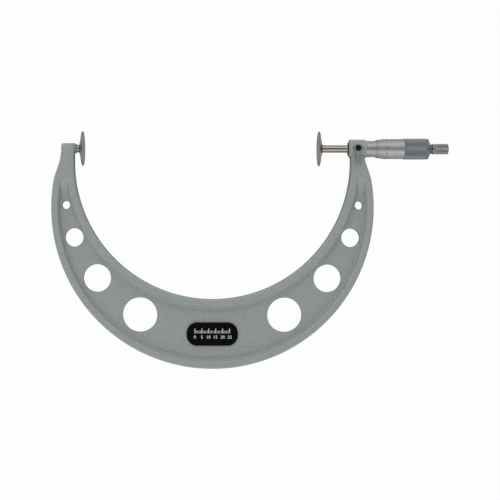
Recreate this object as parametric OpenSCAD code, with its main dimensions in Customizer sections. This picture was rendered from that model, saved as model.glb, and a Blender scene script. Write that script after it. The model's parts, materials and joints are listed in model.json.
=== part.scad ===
// Outside micrometer with disc faces, lying on its back, in millimetres.
// X runs along the measuring axis from the anvil face towards the thimble.
// Every piece is drawn with the frame in the XY plane and its front towards +Z.
// lie() then tips the whole tool about X until both disc rims and the heel of
// the frame touch one level plane. The origin is the middle of the anvil face.

/* [Measuring range] */
// Smallest reading
range_start = 200; // [175:5:250]
// Length of the measuring range
travel = 25; // [20:1:26]
// Opening above the smallest reading, as drawn
opened = 4; // [0:0.5:20]

/* [Disc faces] */
// Diameter of both disc faces
disc_d = 30; // [22:1:34]
// Thickness of a disc at its rim
disc_rim = 1.2; // [1:0.1:1.6]
// Chamfer on both edges of the rim
disc_edge = 0.3; // [0.1:0.05:0.5]
// Length of the cone behind the rim
disc_cone = 2.3; // [1:0.1:3]
// Length of the hub behind the cone
disc_hub = 0.5; // [0.4:0.1:2]
// Wall of the hub round its shank
hub_wall = 0.4; // [0.3:0.05:1.5]
// Depth that a shank reaches into its disc
disc_seat = 2.6; // [1.5:0.1:3]

/* [Frame] */
// Distance from the anvil face back to the arm
anvil_set = 7.9; // [6.5:0.1:12]
// Width of the anvil arm at its top
arm_w = 11.2; // [9:0.1:14]
// Distance of the throat circle's centre below the measuring axis
throat_drop = 10.8; // [8:0.1:16]
// Depth of the frame at the heel
heel_depth = 60; // [55:0.5:70]
// How much larger the outer radius is than the throat radius
back_growth = 19.5; // [16:0.5:24]
// Thickness of the rims
frame_t = 14; // [12:0.5:16]
// Thickness of the web between the pockets
web_t = 6; // [4:0.5:9]
// Rounding along the outer edges of the rims
edge_r = 1.8; // [0.8:0.1:2.5]
// Width of the flat of the inner rim
inner_rim = 6.2; // [4:0.1:7]
// Width of the sloping wall of the inner rim
inner_wall = 2.5; // [1.5:0.1:4]
// Width of the flat of the outer rim
outer_rim = 5.8; // [4:0.1:6.5]
// Width of the sloping wall of the outer rim
outer_wall = 1.8; // [1:0.1:2.5]
// Radius along the lips and feet of the pocket walls
pocket_r = 1.2; // [0.4:0.1:1.6]
// Distance below the axis where the pockets run out
pocket_end = 27; // [26.5:0.5:34]
// Length of the ramp at the end of a pocket
pocket_ramp = 12; // [6:0.5:14]
// Distance below the axis where the arms start to narrow
neck_start = 26; // [22:0.5:26]
// Lean of the outer side of the narrowing arms
neck_lean = 18.5; // [15:0.5:21]
// How much the head arm thins on each side towards the axis
head_thinning = 0.6; // [0.3:0.1:1]
// Radius that leads the anvil arm into its upright top
shoulder_r = 33; // [20:1:40]
// Wall of the anvil boss round the shank
boss_wall = 1.6; // [1.2:0.1:2.2]
// Length of the cone on the nose of the anvil boss
boss_nose = 2.5; // [1.5:0.1:3]

/* [Lightening holes] */
// Diameter of the top hole
top_hole_d = 7; // [5:0.5:8]
// Diameter of the upper hole
upper_hole_d = 16; // [12:0.5:18]
// Diameter of the lower hole
lower_hole_d = 24; // [18:0.5:26]
// Diameter of the bottom hole
bottom_hole_d = 30; // [24:0.5:33]
// Angle of the top hole below the outer circle's centre
top_hole_angle = -1; // [-4:0.5:1]
// Angle of the upper hole
upper_hole_angle = 12.2; // [11:0.2:14]
// Angle of the lower hole
lower_hole_angle = 31.5; // [29:0.5:34]
// Angle of the bottom hole
bottom_hole_angle = 56; // [53:0.5:60]

/* [Name plate] */
// Width of the plate
plate_w = 44.3; // [36:0.1:50]
// Height of the plate
plate_h = 20.1; // [16:0.1:24]
// Thickness of the plate
plate_t = 1; // [0.6:0.1:2]
// Radius of the plate's corners
plate_r = 9; // [6:0.1:9.5]

/* [Head] */
// Length of the head boss
head_len = 15.1; // [13:0.1:18]
// Wall of the head round the main nut
head_wall = 3.15; // [2.6:0.05:4]
// Length of the bevel on the front of the head
head_bevel = 1; // [0.6:0.1:1.5]
// Depth of that bevel
head_bevel_drop = 2; // [1:0.1:2.2]
// Chamfer on the back of the head
head_chamfer = 0.4; // [0.3:0.1:1]
// Distance of the throat edge behind the front of the head
arm_step = 2; // [1:0.1:3]
// Length of the bush in front of the head
nose_len = 0.5; // [0.4:0.1:2]
// Length of the bush inside the head
nose_spigot = 3; // [2:0.1:3.5]
// Wall of the bush's spigot
nose_wall = 1.25; // [0.8:0.05:1.6]
// How far the bush's front stands out beyond its spigot
nose_flange = 1.1; // [0.6:0.1:1.6]

/* [Spindle and main nut] */
// Diameter of the spindle and of the anvil shank
spindle_d = 6.35; // [5.5:0.05:7]
// Outer diameter of the spindle's thread
thread_d = 8; // [7.4:0.1:9]
// Wall of the main nut where it guides the spindle
guide_wall = 1.8; // [1.5:0.05:2.2]
// Distance from the end of the guide bore to the back of the head
guide_back = 3; // [2:0.1:5]
// Wall of the main nut round the thread
nut_wall = 1.7; // [1.4:0.05:2.2]
// Length of the threaded end of the main nut
nut_thread = 16; // [12:0.5:20]
// Relief of the main nut in front of its thread
nut_relief = 0.3; // [0.2:0.05:0.5]
// Width of the slits in the main nut
slit_w = 0.6; // [0.3:0.1:1]
// Length of the adjusting nut
adjuster_len = 3.3; // [2:0.1:5]
// Wall of the adjusting nut at its thin end
adjuster_wall = 0.6; // [0.4:0.05:0.8]
// Radial drop of the taper under the adjusting nut
adjuster_taper = 0.3; // [0.1:0.05:0.5]

/* [Sleeve and thimble] */
// Wall of the outer sleeve
sleeve_wall = 0.97; // [0.8:0.01:1.5]
// Distance from the head to the zero line of the sleeve
zero_set = 4.5; // [3:0.1:8]
// Length of sleeve that stays under the thimble at the largest reading
sleeve_cover = 1.8; // [1:0.1:4]
// Diameter of the setting key's hole
key_hole_d = 1.6; // [1:0.1:2]
// Thickness of the thimble's front lip
lip_t = 0.45; // [0.3:0.05:0.8]
// Wall of the thimble
thimble_wall = 1.45; // [1.2:0.05:2]
// Length of the bevel at the front of the thimble
bevel_len = 6.7; // [4:0.1:9]
// Length of the smooth part of the thimble, bevel included
smooth_len = 24.1; // [18:0.1:28]
// Depth of the seat of the grip ring in the thimble
grip_seat = 0.5; // [0.3:0.05:0.8]
// Wall of the grip ring
grip_wall = 0.95; // [0.7:0.05:1.5]
// Length of the knurl on the grip ring
knurl_len = 19.4; // [16:0.2:24]
// Width of the groove behind the knurl
knurl_groove = 0.6; // [0.3:0.1:1]
// Length of the plain band behind the groove
grip_band = 1.4; // [1:0.1:2.5]
// How far that band lies below the knurl
band_drop = 0.2; // [0.1:0.05:0.3]
// Chamfer at the ends of the grip ring
grip_chamfer = 0.4; // [0.2:0.05:0.4]
// Length of the cone that closes the thimble
end_cone = 2; // [1:0.1:3]
// Width of the thimble's rim at the end of that cone
end_rim = 1; // [0.5:0.1:1.5]
// Step from the spindle's thread down to its taper seat
taper_step = 0.2; // [0.1:0.05:0.4]
// Length of the taper seat of the thimble on the spindle
taper_len = 12; // [9:0.5:13]
// Taper of that seat, on the diameter
taper_rate = 0.1; // [0.05:0.01:0.12]

/* [Ratchet] */
// Diameter of the toothed collar
collar_d = 8.1; // [7.8:0.1:8.6]
// Length of the toothed collar
collar_len = 1.9; // [1.2:0.1:3]
// How far the toothed collar stands out over the end of the thimble
collar_lip = 0.5; // [0.3:0.05:0.8]
// Width of the notches round the toothed collar
notch_w = 0.9; // [0.5:0.1:1.2]
// Depth of those notches
notch_h = 0.4; // [0.2:0.05:0.45]
// Number of ratchet teeth
tooth_count = 12; // [8:1:16]
// Height of the ratchet teeth
tooth_h = 0.5; // [0.3:0.05:0.8]
// Diameter of the ratchet stud's thread
stud_d = 3.6; // [3:0.1:4]
// Length of that thread
stud_len = 8; // [5:0.5:9]
// Diameter of the post inside the knob
post_d = 3.4; // [3:0.1:3.8]
// Diameter of the knob
knob_d = 9.1; // [8.8:0.1:10]
// Length of the knob
knob_len = 14; // [13:0.1:18]
// Length of the plain ring at the front of the knob
knob_ring = 1.1; // [0.6:0.1:2]
// Width of the groove behind that ring
knob_groove = 0.5; // [0.3:0.1:1]
// Depth of that groove
knob_groove_h = 0.3; // [0.1:0.05:0.35]
// Wall of the knob
knob_wall = 0.9; // [0.7:0.05:1.1]
// Thickness of the knob's end
knob_end = 4.6; // [3.5:0.1:6]
// Height of the dome on the knob's end
knob_dome = 0.8; // [0.4:0.1:1.2]
// Thickness of the toothed washer, teeth included
wheel_t = 1.8; // [1.2:0.1:2.5]
// Width of the washer's two keys
key_w = 1.6; // [1:0.1:2.2]
// Height of the washer's two keys
key_h = 0.4; // [0.2:0.05:0.5]
// Wire of the ratchet spring
spring_wire = 0.5; // [0.3:0.05:0.6]
// Number of turns of the ratchet spring
spring_turns = 5; // [3:1:6]
// Diameter of the end screw's head
end_screw_d = 5; // [4.4:0.1:5.6]
// Height of the end screw's head
end_screw_h = 1.4; // [1:0.1:2]
// Diameter of the end screw's thread
end_thread_d = 2; // [1.6:0.1:2.4]
// Width of the end screw's slot
end_slot_w = 0.6; // [0.4:0.05:1]

/* [Clamp] */
// Distance of the clamp behind the front of the head
clamp_set = 7.3; // [6:0.1:8]
// Height of the clamp's seat above the measuring axis
clamp_seat = 7.4; // [6.8:0.1:7.8]
// Diameter of the clamp's thread in the head
clamp_thread_d = 5; // [4.4:0.1:5.4]
// Diameter of the lever's hub
lever_hub_d = 7.4; // [7:0.1:9]
// Height of the lever's hub
lever_hub_h = 3.8; // [3.4:0.1:5]
// Distance from the clamp's axis to the lever's tip
lever_len = 13.2; // [11:0.1:16]
// Width of the lever at its hub
lever_w = 3.8; // [3:0.1:4.5]
// Height of the lever's arm above the clamp's seat
lever_lift = 0.4; // [0.3:0.05:0.8]
// Width of the lever at its tip
lever_tip_w = 3.2; // [2.4:0.1:4]
// Rise of the lever towards its tip
lever_rise = 0.4; // [0.4:0.1:2]
// Diameter of the socket screw's head
clamp_head_d = 5.3; // [4.6:0.1:5.6]
// Height of the socket screw's head
clamp_head_h = 2; // [1.6:0.1:2.2]
// Diameter of the socket screw's thread
clamp_screw_d = 2.2; // [1.8:0.1:2.4]
// Width across the flats of the socket
clamp_socket = 2.5; // [2:0.1:2.8]
// Width across the flats of the stud's drive
drive_af = 3.8; // [3.4:0.1:4]
// Height of the stud's drive
drive_h = 1.5; // [1:0.1:1.8]
// Diameter of the brass shoe
shoe_d = 4; // [3:0.1:4.2]

/* [Fits] */
// Radial clearance of the spindle in its guides
guide_gap = 0.02; // [0.01:0.01:0.05]
// Radial clearance of the thread in the main nut
thread_gap = 0.04; // [0.02:0.01:0.1]
// Radial clearance of the outer sleeve on the main nut
sleeve_gap = 0.03; // [0.02:0.01:0.08]
// Radial clearance between thimble and sleeve
thimble_gap = 0.15; // [0.1:0.01:0.3]
// Clearance between pieces that turn or slide past each other
run_gap = 0.1; // [0.05:0.01:0.15]
// Clearance between stop faces at the ends of the travel
end_gap = 0.6; // [0.2:0.05:0.8]

/* [Hidden] */
$fn = 128;
// How far a cut runs past the piece that it cuts
past = 1;
// How far a rounding in a pocket runs past the two faces that it joins
nick = 0.03;
reading = range_start + opened;
disc_len = disc_rim + disc_cone + disc_hub;
hub_d = spindle_d + 2 * hub_wall;

// Stations along the measuring axis
arm_inner = -anvil_set;
arm_outer = arm_inner - arm_w;
nose_front = range_start + travel + disc_len + end_gap;
head_front = nose_front + nose_len;
head_back = head_front + head_len;
throat_edge = head_front + arm_step;
clamp_x = head_front + clamp_set;
nut_front = head_front + nose_spigot;
guide_end = head_back - guide_back;
zero_x = head_back + zero_set;
thimble_x = zero_x + opened;
sleeve_end = zero_x + travel + sleeve_cover;
adjuster_x = sleeve_end + end_gap;
nut_end = adjuster_x + adjuster_len;
nut_thread_x = nut_end - nut_thread;
hub_x = nut_end + 2 * end_gap + opened;
thread_x = guide_end + 2 * end_gap + opened;
taper_end = hub_x + taper_len;
grip_x = thimble_x + smooth_len;
knurl_end = grip_x + knurl_len;
grip_end = knurl_end + knurl_groove + grip_band;
thimble_end = max(grip_end, taper_end) + end_cone;
collar_x = thimble_end;
tooth_x = collar_x + collar_len;
knob_x = tooth_x + run_gap;
knob_floor = knob_x + knob_len - knob_end;
wheel_x = tooth_x + tooth_h + run_gap;
wheel_back = wheel_x + wheel_t;
knob_tip = knob_x + knob_len;

// Diameters from the spindle outwards
guide_d = spindle_d + 2 * guide_gap;
shank_d = guide_d + 2 * guide_wall;
head_d = shank_d + 2 * head_wall;
nose_d = guide_d + 2 * nose_wall;
nose_flange_d = nose_d + 2 * nose_flange;
nut_bore_d = thread_d + 2 * thread_gap;
nut_relief_d = nut_bore_d + 2 * nut_relief;
nut_d = nut_relief_d + 2 * nut_wall;
sleeve_bore_d = nut_d + 2 * sleeve_gap;
sleeve_d = sleeve_bore_d + 2 * sleeve_wall;
adjuster_d = nut_d + 2 * adjuster_wall;
thimble_bore_d = sleeve_d + 2 * thimble_gap;
lip_d = thimble_bore_d + 2 * lip_t;
thimble_d = thimble_bore_d + 2 * thimble_wall;
grip_bore_d = thimble_d - 2 * grip_seat;
grip_d = grip_bore_d + 2 * grip_wall;
band_d = grip_d - 2 * band_drop;
taper_d = thread_d - 2 * taper_step;
taper_end_d = taper_d - taper_rate * taper_len;
end_bore_d = collar_d - 2 * collar_lip;
knob_bore_d = knob_d - 2 * knob_wall;
wheel_d = knob_bore_d - 2 * run_gap;
wheel_bore_d = post_d + 2 * run_gap;
spring_r = (wheel_bore_d + wheel_d) / 4;
boss_d = spindle_d + 2 * boss_wall;

// The two circles of the crescent
throat_r = (throat_edge + anvil_set) / 2;
throat_x = throat_r - anvil_set;
outer_r = throat_r + back_growth;
heel_v = throat_drop + throat_r + heel_depth;
outer_v = outer_r - heel_v;
plate_v = heel_depth / 2 - heel_v;
frame_half = frame_t / 2;
web_half = web_t / 2;
pocket_depth = frame_half - web_half;
frame_mid = frame_t + 2 * past;

// The line along which the outer side of an arm narrows, and its shoulder
neck_x = throat_x - sqrt(outer_r ^ 2 - (neck_start + outer_v) ^ 2);
neck_top = (arm_outer - neck_x) / tan(neck_lean) - neck_start;
shoulder_v = neck_top + shoulder_r * tan(neck_lean / 2);
neck_run = 60;

// Lie of the tool on its two disc rims and the edge of its heel
heel_y = heel_v - edge_r;
heel_z = frame_half - edge_r;
lie_angle = asin((disc_d / 2 - edge_r) / norm([heel_y, heel_z])) - atan2(heel_z, heel_y);

module lie() {
    rotate([lie_angle, 0, 0]) children();
}

// A solid turned about the measuring axis, from points of [station, radius]
module turned(points) {
    rotate([0, 90, 0]) rotate_extrude() polygon([for (p = points) [p[1], p[0]]]);
}

// A round bar along the measuring axis
module bar(from, to, d) {
    translate([from, 0, 0]) rotate([0, 90, 0]) cylinder(h = to - from, d = d);
}

// A section in the plane of [distance up the frame, height], run along X
module along_x(from, to) {
    translate([from, 0, 0]) rotate([90, 0, 90]) linear_extrude(to - from) children();
}

// Section of a cut up to an edge at zero, which leaves that edge rounded
module edge_cut(depth) {
    translate([-depth, -frame_mid / 2]) square([depth, frame_mid]);
    for (side = [-1, 1])
        scale([1, side])
            difference() {
                translate([-past, frame_half - edge_r]) square([edge_r + past, edge_r + past]);
                translate([edge_r, frame_half - edge_r]) circle(edge_r);
            }
}

module round_cut(r) {
    rotate_extrude() intersection() {
        translate([r, 0]) edge_cut(r);
        translate([0, -frame_mid]) square([2 * r, 2 * frame_mid]);
    }
}

// A straight cut downwards from the origin, with the metal on its +X side
module straight_cut(run, depth) {
    rotate([90, 0, 0]) linear_extrude(run) edge_cut(depth);
}

module outer_round() {
    rotate_extrude() {
        translate([0, -frame_half]) square([outer_r - edge_r, frame_t]);
        translate([0, edge_r - frame_half]) square([outer_r, frame_t - 2 * edge_r]);
        for (side = [-1, 1])
            translate([outer_r - edge_r, side * (frame_half - edge_r)]) circle(edge_r);
    }
}

// The throat: a round bottom with straight sides above it
module throat() {
    translate([throat_x, -throat_drop, 0]) {
        round_cut(throat_r);
        for (side = [0, 1])
            mirror([side, 0, 0])
                translate([throat_r, 2 * outer_r, 0])
                    straight_cut(2 * outer_r, throat_r + past);
    }
}

// What the narrowing side takes off the outer edge of the anvil arm
module neck_cut(top) {
    translate([neck_x, -neck_start, 0])
        rotate([0, 0, -neck_lean])
            translate([0, top, 0]) straight_cut(neck_run, neck_run / 2);
}

module shoulder_cut() {
    translate([arm_outer - shoulder_r, shoulder_v, 0]) round_cut(shoulder_r);
    translate([arm_outer, 2 * outer_r, 0]) straight_cut(2 * outer_r - shoulder_v, neck_run / 2);
    neck_cut((shoulder_v + neck_start - shoulder_r * sin(neck_lean)) / cos(neck_lean));
}

// Section of a pocket up to a wall that leans out from zero over a run, with
// its foot and its lip rounded where they meet the floor and the rim
module wall_section(run, reach) {
    lean = atan2(pocket_depth, run);
    ease = pocket_r * tan(lean / 2);
    along = [ease * cos(lean), ease * sin(lean)];
    difference() {
        union() {
            polygon([
                [-reach, 0], [-ease, 0], along, [run, pocket_depth] - along,
                [run + ease, pocket_depth], [run + ease, pocket_depth + past],
                [-reach, pocket_depth + past]
            ]);
            translate([-ease, pocket_r]) circle(pocket_r + nick);
        }
        translate([run + ease, pocket_depth - pocket_r]) circle(pocket_r + nick);
    }
}

// One pocket beside the web, between two round walls, with a ramp at each end
module pocket() {
    floor_outer = outer_r - outer_rim - outer_wall;
    floor_inner = throat_r + inner_rim + inner_wall;
    difference() {
        intersection() {
            translate([throat_x, outer_v, web_half]) rotate_extrude()
                translate([floor_outer, 0]) wall_section(outer_wall, floor_outer - past);
            translate([throat_x, -throat_drop, web_half]) rotate_extrude()
                translate([floor_inner, 0]) mirror([1, 0]) wall_section(inner_wall, outer_r);
        }
        along_x(throat_x - 2 * outer_r, throat_x + 2 * outer_r) {
            ramp = pocket_ramp / pocket_depth;
            polygon([
                [-pocket_end - pocket_ramp - ramp * past, web_half - past],
                [-pocket_end + 2 * ramp * past, frame_half + 2 * past],
                [2 * outer_r, frame_half + 2 * past],
                [2 * outer_r, web_half - past]
            ]);
        }
    }
}

// Distance from the outer centre to the middle of the crescent, at an angle
function mid_radius(angle) =
    let (sum = outer_r + throat_r, apart = -throat_drop - outer_v)
    (sum ^ 2 - apart ^ 2) / (2 * (sum + apart * sin(angle)));

module lightening_hole(d, angle) {
    for (side = [-1, 1])
        translate([throat_x + side * mid_radius(angle) * cos(angle),
                   outer_v - mid_radius(angle) * sin(angle), -frame_mid])
            cylinder(h = 2 * frame_mid, d = d);
}

// What an arm loses as it thins upwards to a half thickness at the axis
module arm_thinning(from, to, half) {
    along_x(from, to)
        difference() {
            translate([-neck_start, -frame_mid]) square([2 * outer_r, 2 * frame_mid]);
            circle(half);
            polygon([
                [-neck_start, -frame_half], [0, -half], [0, half], [-neck_start, frame_half]
            ]);
        }
}

module crescent() {
    difference() {
        translate([throat_x, outer_v, 0]) outer_round();
        throat();
        shoulder_cut();
        translate([2 * throat_x, 0, 0]) mirror([1, 0, 0]) neck_cut(2 * neck_start);
        translate([throat_x, 0, -frame_mid]) cube([2 * outer_r, 2 * outer_r, 2 * frame_mid]);
        arm_thinning(arm_outer - neck_run, throat_x, boss_d / 2);
        arm_thinning(throat_x, throat_x + 2 * outer_r, frame_half - head_thinning);
        pocket();
        mirror([0, 0, 1]) pocket();
        lightening_hole(top_hole_d, top_hole_angle);
        lightening_hole(upper_hole_d, upper_hole_angle);
        lightening_hole(lower_hole_d, lower_hole_angle);
        lightening_hole(bottom_hole_d, bottom_hole_angle);
    }
}

module anvil_boss() {
    turned([
        [arm_outer, 0], [arm_outer, boss_d / 2 - edge_r / 2], [arm_outer + edge_r / 2, boss_d / 2],
        [arm_inner, boss_d / 2], [arm_inner + boss_nose, spindle_d / 2 + boss_wall / 4],
        [arm_inner + boss_nose, 0]
    ]);
}

module head_boss() {
    turned([
        [head_front, 0], [head_front, head_d / 2 - head_bevel_drop],
        [head_front + head_bevel, head_d / 2], [head_back - head_chamfer, head_d / 2],
        [head_back, head_d / 2 - head_chamfer], [head_back, 0]
    ]);
}

// The clamp's seat and tapped hole, square to the spindle
module clamp_cuts() {
    translate([clamp_x, 0, 0]) {
        cylinder(h = head_d, d = clamp_thread_d + 2 * run_gap);
        translate([0, 0, clamp_seat]) cylinder(h = head_d, d = lever_hub_d + 8 * run_gap);
    }
}

module frame() {
    lie() color("#8b928f") difference() {
        union() {
            crescent();
            anvil_boss();
            head_boss();
        }
        bar(arm_outer + arm_w / 4, 0, spindle_d);
        bar(head_front - past, nut_front + past, nose_d);
        bar(nut_front, head_back + past, shank_d);
        clamp_cuts();
    }
}

// An oblong with round corners
module oblong(w, h, r) {
    square([w - 2 * r, h], center = true);
    square([w, h - 2 * r], center = true);
    for (x = [-1, 1], y = [-1, 1])
        translate([x * (w / 2 - r), y * (h / 2 - r)]) circle(r);
}

module name_plate() {
    lie() color("#1b1c1c")
        translate([throat_x, plate_v, web_half])
            linear_extrude(plate_t) oblong(plate_w, plate_h, plate_r);
}

// A disc face at a station, with its hub on the +X side
module face_disc(face) {
    difference() {
        turned([
            [face, 0], [face, disc_d / 2 - disc_edge], [face + disc_edge, disc_d / 2],
            [face + disc_rim - disc_edge, disc_d / 2], [face + disc_rim, disc_d / 2 - disc_edge],
            [face + disc_rim + disc_cone, hub_d / 2], [face + disc_len, hub_d / 2],
            [face + disc_len, 0]
        ]);
        bar(face + disc_len - disc_seat, face + disc_len + past, spindle_d);
    }
}

module anvil_shank() {
    lie() color("#a9a9a6")
        bar(arm_outer + arm_w / 4, disc_seat - disc_len, spindle_d);
}

module anvil_disc() {
    lie() color("#8c8780") mirror([1, 0, 0]) face_disc(0);
}

module nose_bush() {
    lie() color("#262626") difference() {
        turned([
            [nose_front, 0], [nose_front, nose_flange_d / 2 - nose_len / 2],
            [nose_front + nose_len / 2, nose_flange_d / 2], [head_front, nose_flange_d / 2],
            [head_front, nose_d / 2], [nut_front, nose_d / 2], [nut_front, 0]
        ]);
        bar(nose_front - past, nut_front + past, guide_d);
    }
}

// Three slits through the split end of the main nut
module nut_slits() {
    for (turn = [0, 120, 240])
        rotate([turn, 0, 0])
            translate([nut_thread_x, 0, -slit_w / 2]) cube([nut_thread + past, nut_d, slit_w]);
}

module inner_sleeve() {
    lie() color("#b4b4b0") difference() {
        turned([
            [nut_front, guide_d / 2], [nut_front, shank_d / 2], [head_back, shank_d / 2],
            [head_back, nut_d / 2], [adjuster_x, nut_d / 2],
            [nut_end, nut_d / 2 - adjuster_taper], [nut_end, nut_bore_d / 2],
            [nut_thread_x, nut_bore_d / 2], [nut_thread_x, nut_relief_d / 2],
            [guide_end, nut_relief_d / 2], [guide_end, guide_d / 2]
        ]);
        nut_slits();
        translate([clamp_x, 0, 0]) cylinder(h = shank_d, d = shoe_d + 2 * guide_gap);
    }
}

module adjusting_nut() {
    lie() color("#b4b4b0") difference() {
        turned([
            [adjuster_x, nut_d / 2], [adjuster_x, adjuster_d / 2], [nut_end, adjuster_d / 2],
            [nut_end, nut_d / 2 - adjuster_taper]
        ]);
        for (turn = [0, 180])
            rotate([turn, 0, 0])
                translate([nut_end - adjuster_len / 3, nut_d / 2 - adjuster_taper / 4, -slit_w])
                    cube([adjuster_len, adjuster_d, 2 * slit_w]);
    }
}

module clamp_shoe() {
    lie() color("#b08d3e") difference() {
        translate([clamp_x, 0, 0]) cylinder(h = shank_d / 2 - guide_gap, d = shoe_d);
        bar(clamp_x - shoe_d, clamp_x + shoe_d, guide_d + 2 * guide_gap);
    }
}

module outer_sleeve() {
    lie() color("#b9bbb9") difference() {
        bar(head_back + run_gap / 2, sleeve_end, sleeve_d);
        bar(head_back, sleeve_end + past, sleeve_bore_d);
        rotate([180, 0, 0])
            translate([(head_back + zero_x) / 2, 0, 0]) cylinder(h = sleeve_d, d = key_hole_d);
    }
}

module spindle_disc() {
    lie() color("#8c8780") difference() {
        translate([reading, 0, 0]) face_disc(0);
        bar(reading + disc_len - disc_seat, reading + disc_len + past, guide_d);
    }
}

module spindle() {
    lie() color("#a9a9a6") difference() {
        turned([
            [reading + disc_len - disc_seat + run_gap / 2, 0],
            [reading + disc_len - disc_seat + run_gap / 2, spindle_d / 2], [thread_x, spindle_d / 2],
            [thread_x, thread_d / 2], [hub_x, thread_d / 2], [hub_x, taper_d / 2],
            [taper_end, taper_end_d / 2], [taper_end, 0]
        ]);
        bar(taper_end - stud_len, taper_end + past, stud_d);
    }
}

module thimble() {
    lie() color("#b9bbb9") turned([
        [thimble_x, thimble_bore_d / 2], [thimble_x, lip_d / 2],
        [thimble_x + bevel_len, thimble_d / 2], [grip_x, thimble_d / 2],
        [grip_x, grip_bore_d / 2], [thimble_end - end_cone, grip_bore_d / 2],
        [thimble_end, end_bore_d / 2 + end_rim], [thimble_end, end_bore_d / 2],
        [taper_end, end_bore_d / 2], [taper_end, taper_end_d / 2], [hub_x, taper_d / 2],
        [hub_x, thimble_bore_d / 2]
    ]);
}

module thimble_grip() {
    lie() color("#6a7076") turned([
        [grip_x, grip_bore_d / 2], [grip_x, grip_d / 2 - grip_chamfer],
        [grip_x + grip_chamfer, grip_d / 2], [knurl_end, grip_d / 2],
        [knurl_end, thimble_d / 2], [knurl_end + knurl_groove, thimble_d / 2],
        [knurl_end + knurl_groove, band_d / 2], [grip_end - grip_chamfer, band_d / 2],
        [grip_end, band_d / 2 - grip_chamfer], [grip_end, grip_bore_d / 2]
    ]);
}

// A ring of slanted teeth that rise along +X from a station
module ratchet_teeth(station, inner_d, outer_d) {
    tooth_w = PI * outer_d / tooth_count;
    intersection() {
        difference() {
            bar(station - tooth_h, station + tooth_h, outer_d);
            bar(station - 2 * tooth_h, station + 2 * tooth_h, inner_d);
        }
        union() for (i = [0 : tooth_count - 1])
            rotate([i * 360 / tooth_count, 0, 0])
                translate([station, 0, 0])
                    linear_extrude(outer_d)
                        polygon([
                            [-tooth_h, 0], [-tooth_h, tooth_w / 2], [0, tooth_w / 2],
                            [tooth_h, tooth_w / 8], [tooth_h, 0]
                        ]);
    }
}

// Notches round the collar, open towards the knob
module collar_notches() {
    for (i = [0 : tooth_count - 1])
        rotate([(i + 0.5) * 360 / tooth_count, 0, 0])
            translate([collar_x + collar_lip, collar_d / 2 - notch_h, -notch_w / 2])
                cube([collar_len, notch_h + past, notch_w]);
}

module ratchet_stud() {
    lie() color("#3a3b3c") difference() {
        union() {
            turned([
                [taper_end - stud_len, 0], [taper_end - stud_len, stud_d / 2], [taper_end, stud_d / 2],
                [taper_end, end_bore_d / 2], [collar_x, end_bore_d / 2], [collar_x, collar_d / 2],
                [tooth_x, collar_d / 2], [tooth_x, post_d / 2], [knob_floor, post_d / 2],
                [knob_floor, 0]
            ]);
            ratchet_teeth(tooth_x, post_d, wheel_d);
        }
        collar_notches();
        bar(wheel_back, knob_floor + past, end_thread_d);
    }
}

module key_bars(w, h, from, to) {
    for (turn = [0, 180])
        rotate([turn, 0, 0])
            translate([from, -w / 2, 0]) cube([to - from, w, h]);
}

module ratchet_knob() {
    head_x = knob_tip - knob_end / 2;
    dome_r = ((knob_d / 2) ^ 2 + knob_dome ^ 2) / (2 * knob_dome);
    lie() color("#7d7f80") difference() {
        rotate([0, 90, 0]) rotate_extrude() difference() {
            intersection() {
                translate([0, knob_x]) square([knob_d / 2, knob_len]);
                translate([0, knob_tip - dome_r]) {
                    circle(dome_r);
                    translate([0, -knob_len]) square([dome_r, knob_len]);
                }
            }
            translate([knob_d / 2 - knob_groove_h, knob_x + knob_ring])
                square([knob_d, knob_groove]);
        }
        bar(knob_x - past, knob_floor, knob_bore_d);
        key_bars(key_w + 2 * run_gap, wheel_d / 2 + key_h + run_gap, knob_x - past, knob_floor);
        bar(knob_floor - past, knob_tip, end_thread_d + 4 * run_gap);
        bar(head_x, knob_tip + past, end_screw_d + 2 * run_gap);
    }
}

module ratchet_wheel() {
    lie() color("#3a3b3c") difference() {
        union() {
            bar(wheel_x + tooth_h, wheel_back, wheel_d);
            translate([2 * (wheel_x + tooth_h), 0, 0])
                mirror([1, 0, 0]) ratchet_teeth(wheel_x + tooth_h, wheel_bore_d, wheel_d);
            key_bars(key_w, wheel_d / 2 + key_h, wheel_x + tooth_h, wheel_back);
        }
        bar(wheel_x - past, wheel_back + past, wheel_bore_d);
    }
}

// A wire of six sides wound between the toothed washer and the knob's floor
module ratchet_spring() {
    sides = 6;
    steps = 16 * spring_turns;
    from = wheel_back + spring_wire / 2;
    to = knob_floor - spring_wire / 2;
    points = [
        for (i = [0 : steps], k = [0 : sides - 1])
            let (turn = 360 * spring_turns * i / steps, lap = 360 * k / sides)
            let (r = spring_r + spring_wire / 2 * cos(lap))
            [from + (to - from) * i / steps + spring_wire / 2 * sin(lap),
             r * cos(turn), r * sin(turn)]
    ];
    walls = [
        for (i = [0 : steps - 1], k = [0 : sides - 1], half = [0, 1])
            let (a = i * sides + k, b = i * sides + (k + 1) % sides)
            half == 0 ? [a, b, b + sides] : [a, b + sides, a + sides]
    ];
    last = steps * sides;
    ends = [
        for (k = [1 : sides - 2], end = [0, 1])
            end == 0 ? [0, k + 1, k] : [last, last + k, last + k + 1]
    ];
    lie() color("#8f9090") polyhedron(points, concat(walls, ends));
}

module ratchet_end_screw() {
    head_x = knob_tip - knob_end / 2 + run_gap;
    lie() color("#4a4b4c") difference() {
        union() {
            bar(wheel_back, head_x, end_thread_d);
            bar(head_x, head_x + end_screw_h, end_screw_d);
        }
        translate([head_x + end_screw_h / 2, -end_screw_d, -end_slot_w / 2])
            cube([end_screw_h, 2 * end_screw_d, end_slot_w]);
    }
}

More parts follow.
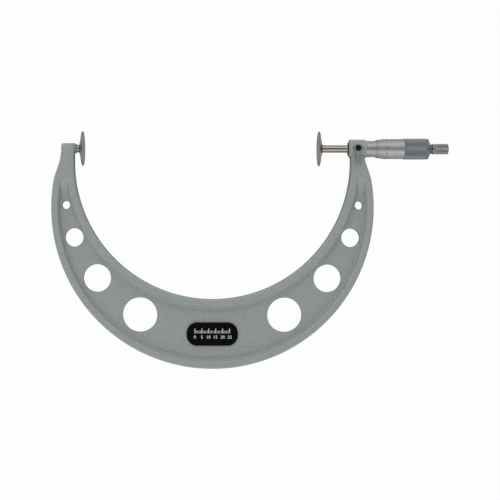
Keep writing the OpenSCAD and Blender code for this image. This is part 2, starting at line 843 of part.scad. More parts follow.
module clamp_lever() {
    hub_z = clamp_seat + run_gap / 2;
    arm_z = hub_z + lever_lift + lever_w / 2;
    lie() color("#a8aaa8") translate([clamp_x, 0, 0]) difference() {
        union() {
            translate([0, 0, hub_z]) cylinder(h = lever_hub_h, d = lever_hub_d);
            hull() {
                translate([0, -lever_hub_d / 4, arm_z]) sphere(d = lever_w, $fn = 32);
                translate([0, lever_tip_w / 2 - lever_len, arm_z + lever_rise])
                    sphere(d = lever_tip_w, $fn = 32);
            }
        }
        translate([0, 0, hub_z - past])
            cylinder(h = drive_h + past, d = (drive_af + run_gap) / cos(30), $fn = 6);
        translate([0, 0, hub_z]) cylinder(h = lever_hub_h, d = clamp_screw_d + 2 * run_gap);
        translate([0, 0, hub_z + lever_hub_h - clamp_head_h])
            cylinder(h = lever_hub_h, d = clamp_head_d + run_gap);
    }
}

module clamp_stud() {
    hub_z = clamp_seat + run_gap / 2;
    lie() color("#3a3b3c") translate([clamp_x, 0, 0]) difference() {
        union() {
            translate([0, 0, shank_d / 2 + guide_gap])
                cylinder(h = hub_z - shank_d / 2 - guide_gap, d = clamp_thread_d);
            translate([0, 0, hub_z]) cylinder(h = drive_h, d = drive_af / cos(30), $fn = 6);
        }
        translate([0, 0, shank_d / 2 + 4 * guide_gap]) cylinder(h = head_d, d = clamp_screw_d);
    }
}

module clamp_screw() {
    hub_z = clamp_seat + run_gap / 2;
    head_z = hub_z + lever_hub_h - clamp_head_h;
    stem_z = shank_d / 2 + 8 * guide_gap;
    lie() color("#161616") translate([clamp_x, 0, 0]) difference() {
        union() {
            translate([0, 0, stem_z]) cylinder(h = head_z - stem_z, d = clamp_screw_d);
            translate([0, 0, head_z]) cylinder(h = clamp_head_h, d = clamp_head_d);
        }
        translate([0, 0, head_z + clamp_head_h / 2])
            cylinder(h = clamp_head_h, d = clamp_socket / cos(30), $fn = 6);
    }
}

frame();
name_plate();
anvil_shank();
anvil_disc();
nose_bush();
inner_sleeve();
adjusting_nut();
clamp_shoe();
outer_sleeve();
spindle_disc();
spindle();
thimble();
thimble_grip();
ratchet_stud();
ratchet_knob();
ratchet_wheel();
ratchet_spring();
ratchet_end_screw();
clamp_lever();
clamp_stud();
clamp_screw();
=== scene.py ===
# %% [markdown]
# # A large outside micrometer with disc faces
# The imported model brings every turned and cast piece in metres, already in place.
# This lesson dresses it: knurls, scales and finishes that are too fine for the solids,
# then the light and the camera of a plain product photograph.

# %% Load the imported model
import json
from math import atan2, cos, hypot, pi, radians, sin

import bmesh
import bpy
from mathutils import Matrix, Vector


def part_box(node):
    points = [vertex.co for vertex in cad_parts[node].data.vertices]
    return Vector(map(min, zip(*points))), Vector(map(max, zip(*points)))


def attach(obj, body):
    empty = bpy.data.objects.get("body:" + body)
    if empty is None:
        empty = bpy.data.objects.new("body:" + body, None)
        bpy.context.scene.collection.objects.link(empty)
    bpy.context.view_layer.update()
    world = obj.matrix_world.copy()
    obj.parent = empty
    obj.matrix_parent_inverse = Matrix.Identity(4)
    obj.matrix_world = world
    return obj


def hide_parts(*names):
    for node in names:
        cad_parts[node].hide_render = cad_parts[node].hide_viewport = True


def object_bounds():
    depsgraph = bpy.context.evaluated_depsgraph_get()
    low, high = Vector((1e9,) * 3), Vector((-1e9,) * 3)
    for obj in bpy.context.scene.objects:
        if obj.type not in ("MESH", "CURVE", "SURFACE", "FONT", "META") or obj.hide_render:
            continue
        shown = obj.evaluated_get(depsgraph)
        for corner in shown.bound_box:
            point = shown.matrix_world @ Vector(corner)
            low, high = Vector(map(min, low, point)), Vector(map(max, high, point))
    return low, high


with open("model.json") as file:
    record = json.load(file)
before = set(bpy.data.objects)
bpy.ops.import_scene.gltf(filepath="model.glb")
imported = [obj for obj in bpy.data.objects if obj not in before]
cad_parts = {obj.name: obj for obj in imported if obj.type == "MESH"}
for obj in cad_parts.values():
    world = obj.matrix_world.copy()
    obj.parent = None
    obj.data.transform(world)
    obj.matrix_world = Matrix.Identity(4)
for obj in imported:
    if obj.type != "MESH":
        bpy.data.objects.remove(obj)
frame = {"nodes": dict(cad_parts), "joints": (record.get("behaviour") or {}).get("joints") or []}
cad_low, cad_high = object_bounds()
nodes = frame["nodes"]
joints = {joint["name"]: joint for joint in frame["joints"]}
mm = 0.001
print("loaded", len(nodes), "pieces, box in mm", [round(s / mm, 1) for s in cad_high - cad_low])

# %% [markdown]
# The tool lies on its back, tipped a little, so its own directions are not the world's.
# The clamp turns about a line square to the frame, and that line gives them all: `across`
# runs along the measuring axis, `up` from the heel to the axis, `normal` out of the front.

# %% Directions of the tool
normal = Vector(joints["clamp_turn"]["axis"]).normalized()
across = Vector((1, 0, 0))
up = normal.cross(across)


def at(x, v, n):
    """A point from its distances along the tool's own three directions."""
    return across * x + up * v + normal * n


def around(x, r, turn):
    """A point at a station and radius about the measuring axis, turned up from the front."""
    return at(x, r * sin(turn), r * cos(turn))


print("tool tipped by", round(atan2(up.z, up.y) * 180 / pi, 2), "degrees")

# %% [markdown]
# The photograph looks straight down on the frame from a metre away, over the middle of the
# throat: both disc faces show as thin ellipses, which a more distant lens would close to
# lines. The picture was framed around the whole tool afterwards, so the lens is shifted.

# %% Camera
eye = at(101 * mm, -88 * mm, 970 * mm)
roll = radians(0.1)
camera_data = bpy.data.cameras.new("camera")
camera_data.sensor_width = 36
camera_data.lens = 80.33
camera_data.shift_x = 0.1009
camera = bpy.data.objects.new("camera", camera_data)
bpy.context.scene.collection.objects.link(camera)
square = Matrix((across, up, normal)).transposed().to_4x4()
camera.matrix_world = Matrix.Translation(eye) @ square @ Matrix.Rotation(roll, 4, "Z")
bpy.context.scene.camera = camera
bpy.context.scene.view_settings.view_transform = "Standard"
print("camera", round(eye.length, 3), "m from the anvil face")

# %% [markdown]
# Every finish below is a small network of shader nodes. One helper adds a node, sets its
# options, and fills its sockets with a number, a colour or a link from another node.

# %% Helper for shader nodes
def add(tree, kind, sockets, **options):
    """A shader node with its options set and its sockets filled or linked."""
    made = tree.nodes.new("ShaderNode" + kind)
    for name, value in options.items():
        setattr(made, name, value)
    for name, value in sockets.items():
        if isinstance(value, bpy.types.NodeSocket):
            tree.links.new(value, made.inputs[name])
        else:
            made.inputs[name].default_value = value
    return made


def ramp(tree, amount, stops):
    """A colour ramp through grey levels or colours at the given places."""
    made = add(tree, "ValToRGB", {"Fac": amount})
    while len(made.color_ramp.elements) < len(stops):
        made.color_ramp.elements.new(0.5)
    for element, (place, colour) in zip(made.color_ramp.elements, stops):
        element.position = place
        element.color = (*colour, 1) if isinstance(colour, tuple) else (colour, colour, colour, 1)
    return made.outputs["Color"]


print("node helpers ready")

# %% [markdown]
# Two long soft lights hung over the tool, one above it in the picture and one below, with
# the lens in the dark gap between them. A turned surface shows them as two bright stripes
# with a dark one in the middle, and walls that face left or right stay darker. So the
# brightness of the world only depends on how far a direction leans up or down the picture.
# A weak lamp from the left tells the left walls from the right ones.

# %% Soft lights
world = bpy.data.worlds.new("soft lights")
bpy.context.scene.world = world
world.use_nodes = True
tent = world.node_tree
where = add(tent, "TexCoord", {})
split = add(tent, "SeparateXYZ", {"Vector": where.outputs["Generated"]})
lean = add(tent, "Math", {0: split.outputs["Y"]}, operation="ABSOLUTE")
lens_gap, beside_gap = (0.2, 0.15, 0.14), (0.3, 0.26, 0.24)
boxes = [(0, lens_gap), (0.33, beside_gap), (0.47, 1.8), (0.93, 1.8), (1, 0.5)]
tent.links.new(ramp(tent, lean.outputs[0], boxes), tent.nodes["Background"].inputs["Color"])
lamp_data = bpy.data.lights.new("key", "AREA")
lamp_data.shape = "RECTANGLE"
lamp_data.size, lamp_data.size_y = 0.9, 0.7
lamp_data.energy = 3
lamp = bpy.data.objects.new("key", lamp_data)
bpy.context.scene.collection.objects.link(lamp)
lamp.location = at(-0.8, 0.3, 0.9)
aim = at(0.12, -0.05, 0)
lamp.rotation_euler = (lamp.location - aim).to_track_quat("Z", "Y").to_euler()
print("soft lights and a lamp of", lamp_data.energy, "W")

# %% [markdown]
# The floor is the white paper of a cut-out photograph. Most of what the camera and mirrors
# see of it is plain white, and the rest is lit paint that keeps a faint shadow.

# %% Floor
plain_white = 0.98
under_tool = (0.145, -0.09, cad_low.z - 0.02 * mm)
sheet = bmesh.new()
bmesh.ops.create_grid(sheet, x_segments=1, y_segments=1, size=4)
bmesh.ops.translate(sheet, verts=sheet.verts, vec=under_tool)
floor_mesh = bpy.data.meshes.new("floor")
sheet.to_mesh(floor_mesh)
sheet.free()
floor = bpy.data.objects.new("floor", floor_mesh)
bpy.context.scene.collection.objects.link(floor)
paper = bpy.data.materials.new("white paper")
paper.use_nodes = True
tree = paper.node_tree
lit = tree.nodes["Principled BSDF"]
lit.inputs["Base Color"].default_value = (0.25, 0.25, 0.25, 1)
lit.inputs["Roughness"].default_value = 0.9
path = add(tree, "LightPath", {})
seen = add(tree, "Math", {0: path.outputs["Is Camera Ray"], 1: path.outputs["Is Glossy Ray"]})
shown = add(tree, "Math", {0: seen.outputs[0], 1: path.outputs["Is Transmission Ray"]})
share = add(tree, "Math", {0: shown.outputs[0], 1: plain_white}, operation="MULTIPLY",
            use_clamp=True)
blend = add(tree, "MixShader", {0: share.outputs[0], 1: lit.outputs[0],
                                2: add(tree, "Emission", {}).outputs[0]})
tree.links.new(blend.outputs[0], tree.nodes["Material Output"].inputs["Surface"])
floor_mesh.materials.append(paper)
print("floor at", round(floor_mesh.vertices[0].co.z / mm, 2), "mm")

# %% [markdown]
# Finishes read Object coordinates. Every object sits at the origin, so these are metres
# along the tool, and a distance from the X axis is a radius about the measuring axis.

# %% Helper for finishes
def new_finish(name, **constants):
    """A material with its constant values set, its node tree, shader and coordinates."""
    material = bpy.data.materials.new(name)
    material.use_nodes = True
    tree = material.node_tree
    shader = tree.nodes["Principled BSDF"]
    for socket, value in constants.items():
        shader.inputs[socket.replace("_", " ")].default_value = value
    return material, tree, shader, add(tree, "TexCoord", {}).outputs["Object"]


def station(tree, place):
    """The distance along the measuring axis."""
    return add(tree, "SeparateXYZ", {"Vector": place}).outputs["X"]


def radius(tree, place):
    """The distance from the measuring axis."""
    flat = add(tree, "VectorMath", {0: place, 1: (0, 1, 1)}, operation="MULTIPLY")
    return add(tree, "VectorMath", {0: flat.outputs[0]}, operation="LENGTH").outputs["Value"]


def scaled(tree, value, factor):
    """A value times a constant."""
    return add(tree, "Math", {0: value, 1: factor}, operation="MULTIPLY").outputs[0]


def spread(tree, value, low, high, to_low, to_high):
    """A value moved from one range to another."""
    made = add(tree, "MapRange", {"Value": value, "From Min": low, "From Max": high,
                                  "To Min": to_low, "To Max": to_high})
    return made.outputs["Result"]


print("finish helpers ready")

# %% [markdown]
# The casting wears hammer enamel: a thick grey paint whose skin draws together into small
# flat cells as it dries. A smooth Voronoi pattern has the same cells, about 1.4 mm wide.
# It drives the bump, and a finer noise breaks up the colour and the gloss. Walls square to
# the frame get painted shade, a darker colour, and they are made duller too.

# %% Hammer enamel
enamel, tree, shader, place = new_finish("hammer enamel", Specular_IOR_Level=0.35)
cells = add(tree, "TexVoronoi", {"Vector": place, "Scale": 700.0, "Smoothness": 0.5},
            feature="SMOOTH_F1").outputs["Distance"]
grain = add(tree, "TexNoise", {"Vector": place, "Scale": 900.0, "Detail": 3.0}).outputs["Fac"]
mixed = add(tree, "Math", {0: cells, 1: scaled(tree, grain, 0.35)}).outputs[0]
skin = ramp(tree, mixed, [(0.25, (0.277, 0.31, 0.301)), (0.75, (0.225, 0.257, 0.249))])
outward = add(tree, "TexCoord", {}).outputs["Normal"]
tilt = add(tree, "VectorMath", {0: outward, 1: normal}, operation="DOT_PRODUCT").outputs["Value"]
front = add(tree, "Math", {0: tilt}, operation="ABSOLUTE").outputs[0]
# painted shade: walls square to the frame get a darker colour than the front and back faces
painted_wall_shade = spread(tree, front, 0.1, 0.45, 0.68, 1.0)
tree.links.new(add(tree, "VectorMath", {0: skin, 1: painted_wall_shade}, operation="MULTIPLY").outputs[0],
               shader.inputs["Base Color"])
dull = add(tree, "Math", {0: spread(tree, grain, 0.3, 0.7, 0.25, 0.35),
                          1: spread(tree, front, 0.1, 0.45, 0.45, 0.0)})
tree.links.new(dull.outputs[0], shader.inputs["Roughness"])
bump = add(tree, "Bump", {"Height": mixed, "Strength": 0.4, "Distance": 0.00012}, invert=True)
tree.links.new(bump.outputs[0], shader.inputs["Normal"])
print("hammer enamel with", len(tree.nodes), "nodes")

# %% [markdown]
# Steel that was ground or turned keeps fine rings from the tool. Along a shaft they follow
# the station, on a disc face they follow the radius, so one noise in one dimension makes
# both. Grinding leaves the shafts brightest, and oxide leaves the small screws nearly black.
# At a slant, bare metal mirrors the white floor, and a dark edge tint holds that back.

# %% Steels
def turned_steel(name, tint, gloss, rings, **constants):
    """Metal with fine turning rings; rings is the function that says where a ring lies."""
    material, tree, shader, place = new_finish(name, **constants)
    lines = add(tree, "TexNoise", {"W": scaled(tree, rings(tree, place), 9000.0), "Detail": 2.0},
                noise_dimensions="1D").outputs["Fac"]
    cloud = add(tree, "TexNoise", {"Vector": place, "Scale": 160.0, "Detail": 4.0}).outputs["Fac"]
    both = add(tree, "Math", {0: scaled(tree, lines, 0.6), 1: scaled(tree, cloud, 0.4)}).outputs[0]
    dark, light = tuple(c * 0.82 for c in tint), tuple(c * 1.15 for c in tint)
    tree.links.new(ramp(tree, both, [(0.3, dark), (0.7, light)]), shader.inputs["Base Color"])
    dull = spread(tree, both, 0.3, 0.7, gloss * 1.2, gloss * 0.85)
    tree.links.new(dull, shader.inputs["Roughness"])
    bump = add(tree, "Bump", {"Height": lines, "Strength": 0.12, "Distance": 0.00002})
    tree.links.new(bump.outputs[0], shader.inputs["Normal"])
    print(name, "with", len(tree.nodes), "nodes")
    return material


soft_edge, dark_edge = (0.5, 0.5, 0.48, 1), (0.1, 0.1, 0.1, 1)
disc_steel = turned_steel("lapped disc steel", (0.2, 0.197, 0.185), 0.32, radius, Metallic=1.0,
                          Specular_Tint=soft_edge)
shaft_steel = turned_steel("ground shaft steel", (0.27, 0.238, 0.22), 0.11, station, Metallic=1.0,
                           Specular_Tint=dark_edge)
nut_steel = turned_steel("turned nut steel", (0.45, 0.45, 0.44), 0.34, station, Metallic=1.0)
brass = turned_steel("shoe brass", (0.62, 0.45, 0.17), 0.3, station, Metallic=1.0)
# near black: real black oxide on the small screws, and painted shade on the nose bush at the front
# of the head
oxide_and_shade = turned_steel("black oxide", (0.008, 0.008, 0.009), 0.45, station, Specular_IOR_Level=0.2)
collar_steel = turned_steel("collar steel", (0.1, 0.1, 0.1), 0.35, station, Metallic=0.8)
satin_chrome = turned_steel("satin chrome", (0.29, 0.3, 0.295), 0.36, station, Metallic=0.6,
                            Specular_Tint=dark_edge, Specular_IOR_Level=0.3)

# %% [markdown]
# The plate in the heel is lacquered black: dark and smooth, with a trace of unevenness that
# only the reflections show.

# %% Plate lacquer
lacquer, tree, shader, place = new_finish("plate lacquer", Specular_IOR_Level=0.06)
cloud = add(tree, "TexNoise", {"Vector": place, "Scale": 300.0, "Detail": 4.0}).outputs["Fac"]
tree.links.new(ramp(tree, cloud, [(0.3, 0.0012), (0.7, 0.003)]), shader.inputs["Base Color"])
tree.links.new(spread(tree, cloud, 0.3, 0.7, 0.3, 0.42), shader.inputs["Roughness"])
print("plate lacquer with", len(tree.nodes), "nodes")

# %% [markdown]
# Each solid that stays in view gets its finish through its own material slots.

# %% Dress the solids
dressing = [
    (enamel, ["frame"]),
    (lacquer, ["name_plate"]),
    (disc_steel, ["anvil_disc", "spindle_disc"]),
    (shaft_steel, ["anvil_shank", "spindle"]),
    (satin_chrome, ["outer_sleeve", "thimble"]),
    (nut_steel, ["inner_sleeve", "adjusting_nut", "ratchet_wheel", "ratchet_spring"]),
    (brass, ["clamp_shoe"]),
    (collar_steel, ["ratchet_stud"]),
    # painted shade: the nose bush gets this near-black finish for the shade at the front of the
    # head
    (oxide_and_shade, ["nose_bush", "ratchet_end_screw", "clamp_stud", "clamp_screw"]),
]
for finish, names in dressing:
    for name in names:
        for slot in nodes[name].material_slots:
            slot.material = finish
print("dressed", sum(len(names) for finish, names in dressing), "solids")

# %% [markdown]
# New pieces are built in a bmesh and then become objects that ride on a body of the model.
# Most of them are turned: a closed row of corners, spun once about the measuring axis.

# %% Helpers for pieces
def make_piece(name, shape, finish, body):
    """A finished bmesh becomes an object that rides on a body."""
    mesh = bpy.data.meshes.new(name)
    shape.to_mesh(mesh)
    shape.free()
    mesh.materials.append(finish)
    made = bpy.data.objects.new(name, mesh)
    bpy.context.scene.collection.objects.link(made)
    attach(made, body)
    print(name, "has", len(mesh.polygons), "faces")
    return made


def turn_ring(shape, profile, steps):
    """A closed row of (station, radius) corners, spun once about the measuring axis."""
    corners = [shape.verts.new(around(x, r, 0)) for x, r in profile]
    edges = [shape.edges.new((corners[i - 1], corners[i])) for i in range(len(corners))]
    bmesh.ops.spin(shape, geom=corners + edges, cent=(0, 0, 0), axis=across, angle=2 * pi,
                   steps=steps, use_merge=True)
    bmesh.ops.recalc_face_normals(shape, faces=shape.faces)


def press_knurl(shape, start, end, outer, depth, steps, pitch=0):
    """Sinks every second corner of the outer skin, in columns or, with a pitch, in a chequer."""
    for corner in shape.verts:
        v, n = corner.co.dot(up), corner.co.dot(normal)
        column = round(atan2(v, n) * steps / (2 * pi))
        row = round((corner.co.x - start) / pitch) if pitch else 0
        inside = start - 0.01 * mm < corner.co.x < end + 0.01 * mm
        if inside and hypot(v, n) > outer - 0.01 * mm and (row + column) % 2:
            corner.co -= (up * v + normal * n) * (depth / hypot(v, n))


print("piece helpers ready")

# %% [markdown]
# Fingers turn the thimble by its grip, a ring with a fine diamond knurl. On the real one two
# crossed wheels press the diamonds into the metal. Here the ring is spun with one corner for
# every crest and valley, every second corner is pressed in, and the split of each square
# along its valley leaves small pyramids. A plain band behind a groove ends the ring.

# %% Knurled grip
grip_low, grip_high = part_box("thimble_grip")
grip_r = (grip_high.y - grip_low.y) / 2
pitch, grip_rows, grip_steps, grip_depth = 0.4 * mm, 48, 144, 0.18 * mm
crest_from, crest_to = grip_low.x + pitch, grip_low.x + grip_rows * pitch
profile = [(grip_low.x, grip_r - 0.95 * mm), (grip_low.x, grip_r - 0.4 * mm)]
profile += [(crest_from + pitch * i, grip_r) for i in range(grip_rows)]
for x, drop in [(19.4, 0.2), (19.45, 0.45), (19.95, 0.45), (20.05, 0.25), (20.2, 0.2),
                (21.2, 0.2), (21.4, 0.4), (21.4, 0.95)]:
    profile.append((grip_low.x + x * mm, grip_r - drop * mm))
shape = bmesh.new()
turn_ring(shape, profile, grip_steps)
press_knurl(shape, crest_from, crest_to, grip_r, grip_depth, grip_steps, pitch)
bmesh.ops.triangulate(shape, faces=shape.faces, quad_method="SHORT_EDGE")
grip_finish, tree, shader, place = new_finish("grip plate", Metallic=0.6)
depth = spread(tree, radius(tree, place), grip_r - grip_depth, grip_r, 0.0, 1.0)
cloud = add(tree, "TexNoise", {"Vector": place, "Scale": 1500.0, "Detail": 3.0}).outputs["Fac"]
# colour: darker down in the knurl's valleys, lighter on the crests, broken up by a noise
valley_to_crest_tone = add(tree, "Math", {0: depth, 1: cloud}, operation="MULTIPLY").outputs[0]
tree.links.new(ramp(tree, valley_to_crest_tone, [(0, (0.13, 0.146, 0.156)), (0.6, (0.25, 0.278, 0.3))]),
               shader.inputs["Base Color"])
tree.links.new(spread(tree, cloud, 0.3, 0.7, 0.5, 0.4), shader.inputs["Roughness"])
grip = make_piece("grip_knurl", shape, grip_finish, "measuring_screw")
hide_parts("thimble_grip")

# %% [markdown]
# The small knob of the ratchet stop has straight ribs, a plain front ring and a hollow end
# where its screw sits. It is spun the same way, but whole columns are pressed in.

# %% Ratchet knob
knob_low, knob_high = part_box("ratchet_knob")
knob_r = (knob_high.y - knob_low.y) / 2
knob_steps, rib_depth = 104, 0.15 * mm
front_ring = [(0, 0.9), (0, 0.2), (0.2, 0), (0.95, 0), (1.1, 0.15), (1.15, 0.3), (1.55, 0.3),
              (1.6, 0.15), (1.75, 0)]
hollow_end = [(1.04, 0), (0.69, 0.2), (0.35, 0.55), (0.15, 1.25), (0, 1.95), (2.04, 1.95),
              (2.04, 3.35), (4.34, 3.35), (4.34, 0.9)]
profile = [(knob_low.x + x * mm, knob_r - drop * mm) for x, drop in front_ring]
profile += [(knob_high.x - x * mm, knob_r - drop * mm) for x, drop in hollow_end]
ribs_from, ribs_to = profile[len(front_ring) - 1][0], profile[len(front_ring)][0]
shape = bmesh.new()
turn_ring(shape, profile, knob_steps)
press_knurl(shape, ribs_from, ribs_to, knob_r, rib_depth, knob_steps)
knob_finish, tree, shader, place = new_finish("knob plate", Metallic=0.6)
depth = spread(tree, radius(tree, place), knob_r - rib_depth, knob_r, 0.0, 1.0)
cloud = add(tree, "TexNoise", {"Vector": place, "Scale": 260.0, "Detail": 4.0}).outputs["Fac"]
# colour: darker down between the ribs, lighter on the ribs, broken up by a noise
valley_to_crest_tone = add(tree, "Math", {0: depth, 1: cloud}, operation="MULTIPLY").outputs[0]
tree.links.new(ramp(tree, valley_to_crest_tone, [(0, (0.13, 0.13, 0.13)), (0.6, (0.3, 0.3, 0.295))]),
               shader.inputs["Base Color"])
tree.links.new(spread(tree, cloud, 0.3, 0.7, 0.46, 0.36), shader.inputs["Roughness"])
knob = make_piece("knob_ribs", shape, knob_finish, "ratchet")
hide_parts("ratchet_knob")

# %% [markdown]
# A lever on the front of the head clamps the spindle. It is a small casting: a round hub
# with a counterbore for the black screw, and a thumb arm that rises away from the frame.
# The hub starts as a cylinder, whose lid is inset and sunk, and the arm as a cube that is
# tapered; bevels then round both as tumbling rounds a casting.

# %% Clamp lever
def heights(name):
    """The lowest and highest distance of a solid along the tool's normal."""
    along = [corner.co.dot(normal) for corner in nodes[name].data.vertices]
    return min(along), max(along)


clamp_x = joints["clamp_turn"]["pos_m"][0]
seat, lid = heights("clamp_lever")[0], heights("clamp_screw")[1]
hub_r, lip, bore_depth = 3.7 * mm, 0.5 * mm, 2 * mm
root_v, root_size = -2.9, (4.0, 3.2, 9.8)
tip_v, tip_size = -13.1, (3.3, 2.6, 9.6)
shape = bmesh.new()
bmesh.ops.create_cone(shape, cap_ends=True, segments=48, radius1=hub_r, radius2=hub_r,
                      depth=lid - seat,
                      matrix=Matrix.Translation(at(clamp_x, 0, (seat + lid) / 2)) @ square)
top = [face for face in shape.faces if face.normal.dot(normal) > 0.9]
rim = [edge for face in top for edge in face.edges]
bmesh.ops.bevel(shape, geom=rim, offset=lip, segments=4, profile=0.5, affect="EDGES",
                material=-1)
top = [face for face in shape.faces if face.normal.dot(normal) > 0.99 and len(face.verts) > 8]
bmesh.ops.inset_region(shape, faces=top, thickness=lip)
sunk = bmesh.ops.extrude_discrete_faces(shape, faces=top)["faces"]
bmesh.ops.translate(shape, verts=sunk[0].verts, vec=-bore_depth * normal)
arm = bmesh.ops.create_cube(shape, size=1)["verts"]
for corner in arm:
    tip = corner.co.y < 0
    wide, thick, middle = tip_size if tip else root_size
    corner.co = at(clamp_x + corner.co.x * wide * mm, (tip_v if tip else root_v) * mm,
                   (middle + corner.co.z * thick) * mm)
rails = {edge for corner in arm for edge in corner.link_edges}
bmesh.ops.bevel(shape, geom=list(rails), offset=1.2 * mm, segments=5, profile=0.5, affect="EDGES",
                material=-1)
lever_finish, tree, shader, place = new_finish("lever plate", Metallic=0.5)
cloud = add(tree, "TexNoise", {"Vector": place, "Scale": 400.0, "Detail": 5.0}).outputs["Fac"]
tree.links.new(ramp(tree, cloud, [(0.3, (0.172, 0.182, 0.177)), (0.7, (0.224, 0.238, 0.232))]),
               shader.inputs["Base Color"])
tree.links.new(spread(tree, cloud, 0.3, 0.7, 0.62, 0.5), shader.inputs["Roughness"])
lever = make_piece("thumb_lever", shape, lever_finish, "clamp")
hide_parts("clamp_lever")

# %% [markdown]
# The scales are filled engravings, far too fine for the solids. Each line is a short edge
# spun through a small angle, so it hugs its cylinder or cone, and a solidify gives it the
# thickness of a coat of ink.

# %% Helpers for scales
ink_rise = 0.015 * mm


def draw_line(shape, start, end, low, high, steps=1):
    """An edge between two (station, radius) corners, spun from one turn down to another."""
    ends = [shape.verts.new(around(x, r + ink_rise, high)) for x, r in (start, end)]
    edge = shape.edges.new(ends)
    bmesh.ops.spin(shape, geom=ends + [edge], cent=(0, 0, 0), axis=across, angle=high - low,
                   steps=steps)


def thicken(shape):
    """Turns all strips to face outwards and gives them the thickness of ink."""
    shape.normal_update()
    inward = []
    for face in shape.faces:
        middle = face.calc_center_median()
        if face.normal.dot(Vector((0, middle.y, middle.z))) < 0:
            inward.append(face)
    bmesh.ops.reverse_faces(shape, faces=inward)
    bmesh.ops.solidify(shape, geom=shape.faces[:], thickness=2 * ink_rise)


def stamp(shape, label, height, put):
    """Adds a numeral to a bmesh; put says where a point of the flat numeral goes."""
    letters = bpy.data.curves.new("numeral", "FONT")
    letters.body = label
    letters.size = height * 1.4
    letters.extrude = ink_rise
    letters.resolution_u = 3
    holder = bpy.data.objects.new("numeral", letters)
    flat = bpy.data.meshes.new_from_object(holder)
    ink = bmesh.new()
    ink.from_mesh(flat)
    bmesh.ops.remove_doubles(ink, verts=ink.verts, dist=0.001 * mm)
    columns = list(zip(*(corner.co for corner in ink.verts)))
    middle = Vector([(min(column) + max(column)) / 2 for column in columns])
    for cut in range(-4, 5):
        level = middle + Vector((0, cut * height / 9, 0))
        bmesh.ops.bisect_plane(ink, geom=ink.verts[:] + ink.edges[:] + ink.faces[:],
                               dist=0.0001 * mm, plane_co=level, plane_no=(0, 1, 0))
    for corner in ink.verts:
        corner.co = put(corner.co - middle)
    bmesh.ops.recalc_face_normals(ink, faces=ink.faces)
    ink.to_mesh(flat)
    ink.free()
    shape.from_mesh(flat)
    bpy.data.objects.remove(holder)
    bpy.data.curves.remove(letters)
    bpy.data.meshes.remove(flat)


scale_ink, tree, shader, place = new_finish("scale ink", Specular_IOR_Level=0.2)
cloud = add(tree, "TexNoise", {"Vector": place, "Scale": 2500.0, "Detail": 2.0}).outputs["Fac"]
tree.links.new(ramp(tree, cloud, [(0.3, 0.012), (0.7, 0.035)]), shader.inputs["Base Color"])
tree.links.new(spread(tree, cloud, 0.3, 0.7, 0.5, 0.7), shader.inputs["Roughness"])
print("scale helpers ready")

# %% [markdown]
# On the sleeve a long index line runs along the axis, with a stroke for each millimetre
# above it and one for each half below. The edge of the thimble shows how far the spindle is
# open, and the slide's lowest position tells where the zero stroke lies.

# %% Sleeve scale
sleeve_low, sleeve_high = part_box("outer_sleeve")
sleeve_r = (sleeve_high.y - sleeve_low.y) / 2
thimble_low, thimble_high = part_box("thimble")
zero_x = thimble_low.x + joints["spindle_slide"]["range_m"][0]
index = 0.07
shape = bmesh.new()
half_stroke = 0.07 * mm
draw_line(shape, (sleeve_low.x + 0.8 * mm, sleeve_r), (sleeve_high.x - 0.3 * mm, sleeve_r),
          index - half_stroke / sleeve_r, index + half_stroke / sleeve_r)
for i in range(51):
    x = zero_x + i * 0.5 * mm
    tall = (2.4 if i % 10 == 0 else 1.6) * mm / sleeve_r
    low, high = (index - tall, index) if i % 2 else (index, index + tall)
    draw_line(shape, (x - half_stroke, sleeve_r), (x + half_stroke, sleeve_r), low, high, 5)
thicken(shape)
for number in range(0, 26, 5):
    x = zero_x + number * mm
    stamp(shape, str(number), 1.5 * mm,
          lambda co, x=x: around(x + co.x, sleeve_r + co.z, index + (3.6 * mm + co.y) / sleeve_r))
make_piece("sleeve_scale", shape, scale_ink, "sleeve")

# %% [markdown]
# The bevel of the thimble carries fifty strokes, a hundredth of a millimetre each. The screw
# has a right-hand thread, so opening it turns the front of the thimble down, and the numbers
# grow upwards.

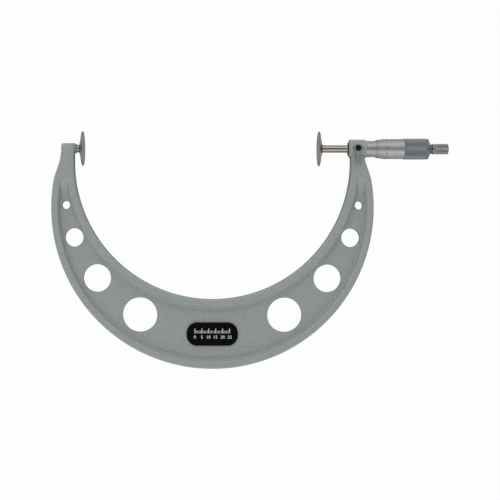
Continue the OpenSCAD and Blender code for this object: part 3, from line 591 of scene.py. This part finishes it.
# %% Thimble scale
thimble_r = (thimble_high.y - thimble_low.y) / 2
lip_r, bevel_x = thimble_r - 1 * mm, 6.7 * mm
number_x = thimble_low.x + 8.9 * mm
shape = bmesh.new()
for i in range(50):
    turn = index + i * 2 * pi / 50
    far = (4.4 if i % 5 == 0 else 2.6) * mm
    ends = [(thimble_low.x + d, lip_r + (thimble_r - lip_r) * d / bevel_x) for d in (0.2 * mm, far)]
    draw_line(shape, *ends, turn - half_stroke / lip_r, turn + half_stroke / lip_r)
thicken(shape)
for i in range(0, 50, 5):
    turn = index + i * 2 * pi / 50
    stamp(shape, str(i), 1.8 * mm,
          lambda co, turn=turn: around(number_x + co.x, thimble_r + co.z, turn + co.y / thimble_r))
make_piece("thimble_scale", shape, scale_ink, "measuring_screw")

# %% [markdown]
# The plate carries a plain printed ruler of 25 steps, as a generic sign of what the tool's
# screw spans. Each stroke is a cube flattened to the thickness of print.

# %% Plate print
plate_low, plate_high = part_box("name_plate")
plate_x = (plate_low.x + plate_high.x) / 2
plate_v = ((plate_low + plate_high) / 2).dot(up)
plate_n = heights("name_plate")[1]
step, centre_step = 1.2 * mm, 12.5
shape = bmesh.new()
for i in range(26):
    wide, tall = (0.5 * mm, 4.2 * mm) if i % 5 == 0 else (0.3 * mm, 2.4 * mm)
    size = Matrix.Diagonal((wide, tall, 2 * ink_rise, 1))
    middle = at(plate_x + (i - centre_step) * step, plate_v + 0.6 * mm + tall / 2, plate_n)
    bmesh.ops.create_cube(shape, size=1, matrix=Matrix.Translation(middle) @ square @ size)
for number in range(0, 26, 5):
    x = plate_x + (number - centre_step) * step
    stamp(shape, str(number), 2.7 * mm,
          lambda co, x=x: at(x + co.x, plate_v - 2.6 * mm + co.y, plate_n + co.z))
print_finish, tree, shader, place = new_finish("plate print", Specular_IOR_Level=0.2)
cloud = add(tree, "TexNoise", {"Vector": place, "Scale": 1800.0, "Detail": 2.0}).outputs["Fac"]
tree.links.new(ramp(tree, cloud, [(0.3, 0.55), (0.7, 0.72)]), shader.inputs["Base Color"])
tree.links.new(spread(tree, cloud, 0.3, 0.7, 0.5, 0.65), shader.inputs["Roughness"])
make_piece("plate_ruler", shape, print_finish, "frame")
